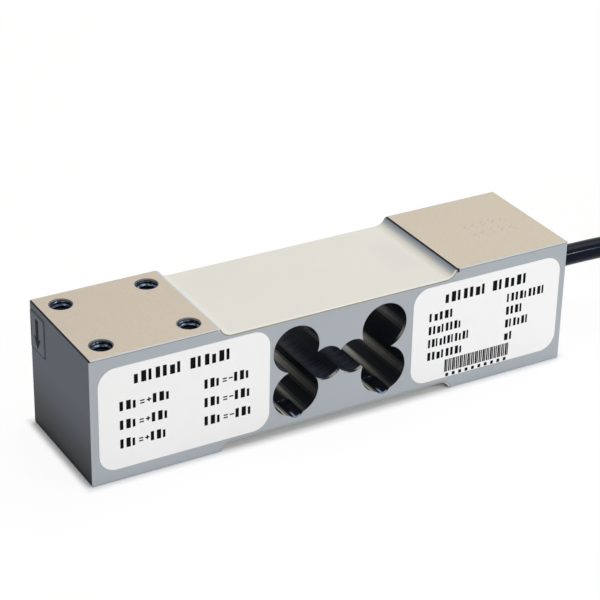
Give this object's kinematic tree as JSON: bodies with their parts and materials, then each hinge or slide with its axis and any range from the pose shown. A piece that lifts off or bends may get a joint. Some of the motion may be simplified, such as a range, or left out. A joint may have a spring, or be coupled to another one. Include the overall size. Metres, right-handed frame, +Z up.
{
  "type": "single point load cell",
  "caption": "Single point load cell: an aluminium bar with a dog-bone cut-out, potted gauge recesses, tapped mounting pads and a hanked signal cable.",
  "frame": {"origin": "middle of the bar's underside", "axes": "+X from the load end to the fixed, cable end; +Z up, out of the load pad; the labelled front face looks along -Y"},
  "size_m": [0.3253, 0.0614, 0.0381],
  "materials": {
    "bar_aluminium": "satin, fine-milled",
    "board_laminate": "matt",
    "gauge_film": "amber film",
    "tinned_copper": "bright",
    "core_insulation": "satin",
    "potting_silicone": "soft, off-white",
    "label_film": "semi-gloss white film",
    "bush_rubber": "satin",
    "cable_jacket": "glossy",
    "tie_nylon": "satin",
    "sleeve_plastic": "satin",
    "core_green": "satin",
    "core_black": "satin",
    "core_blue": "satin",
    "core_white": "satin",
    "core_red": "satin",
    "core_brown": "satin"
  },
  "bodies": {
    "root": {"spring_element": "bar_aluminium", "upper_terminal_board": "board_laminate", "lower_terminal_board": "board_laminate", "upper_gauge_load_side": "gauge_film", "upper_gauge_fixed_side": "gauge_film", "lower_gauge_load_side": "gauge_film", "lower_gauge_fixed_side": "gauge_film", "zero_compensator": "gauge_film", "span_compensator": "gauge_film", "upper_gauge_leads": "tinned_copper", "lower_gauge_leads": "tinned_copper", "crossover_wires": "tinned_copper", "inner_cores": "core_insulation", "upper_potting": "potting_silicone", "lower_potting": "potting_silicone", "wiring_label": "label_film", "rating_label": "label_film", "arrow_label": "label_film", "cable_bush": "bush_rubber", "inner_cable": "cable_jacket", "bore_sealant": "potting_silicone", "cable_hank": "cable_jacket", "cable_lead": "cable_jacket", "hank_tie_near": "tie_nylon", "hank_tie_far": "tie_nylon", "jacket_sleeve": "sleeve_plastic", "core_green": "core_green", "core_black": "core_black", "core_blue": "core_blue", "core_white": "core_white", "core_red": "core_red", "core_brown": "core_brown", "drain_wire": "tinned_copper", "core_tips": "tinned_copper"}
  },
  "joints": []
}
